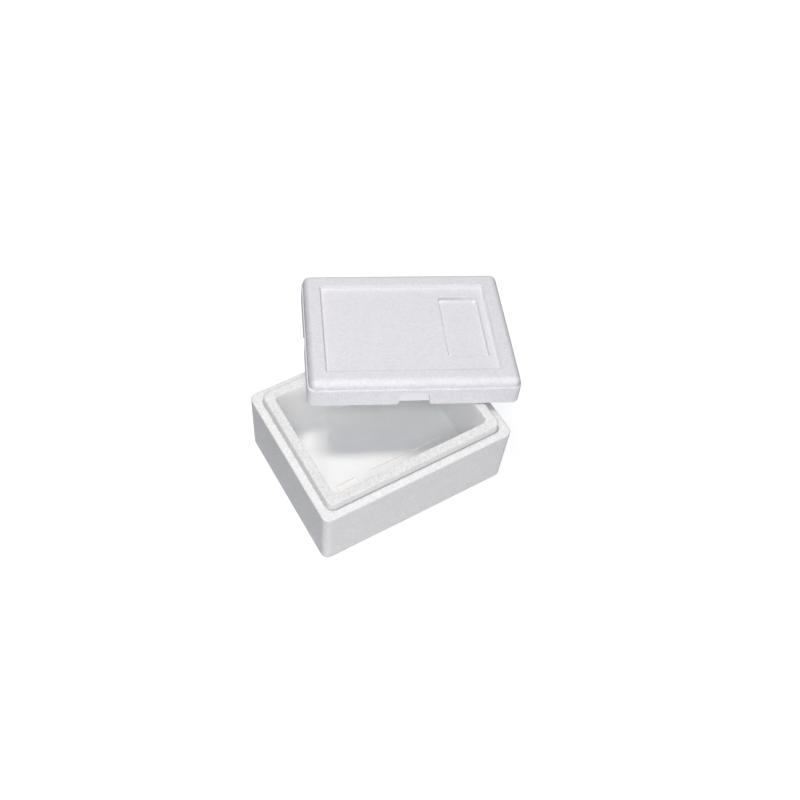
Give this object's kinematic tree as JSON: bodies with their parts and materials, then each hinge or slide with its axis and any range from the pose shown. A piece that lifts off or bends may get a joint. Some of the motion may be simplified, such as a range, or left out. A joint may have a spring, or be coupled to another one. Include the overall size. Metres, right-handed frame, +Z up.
{
  "type": "dry ice box",
  "caption": "White moulded foam box for dry ice: rounded upright corners, a raised lip round a deep cavity, and a thick lid with a recessed panel and finger notches, lying askew on top.",
  "frame": {"origin": "middle of the base's flat underside, on the surface that it stands on", "axes": "+X along the base's long side, +Y from the front long side to the back one, +Z up; the lid lies turned about 25 degrees across the back right"},
  "size_m": [0.4613, 0.399, 0.1924],
  "materials": {
    "foam_base": "matte moulded bead foam",
    "foam_lid": "matte moulded bead foam"
  },
  "bodies": {
    "base": {"box_base": "foam_base"},
    "lid": {"lid": "foam_lid"}
  },
  "joints": [
    {"name": "lid_lift", "type": "slide", "parent": "base", "child": "lid", "axis": [0, 0, 1], "range_m": [0, 0.2]}
  ]
}
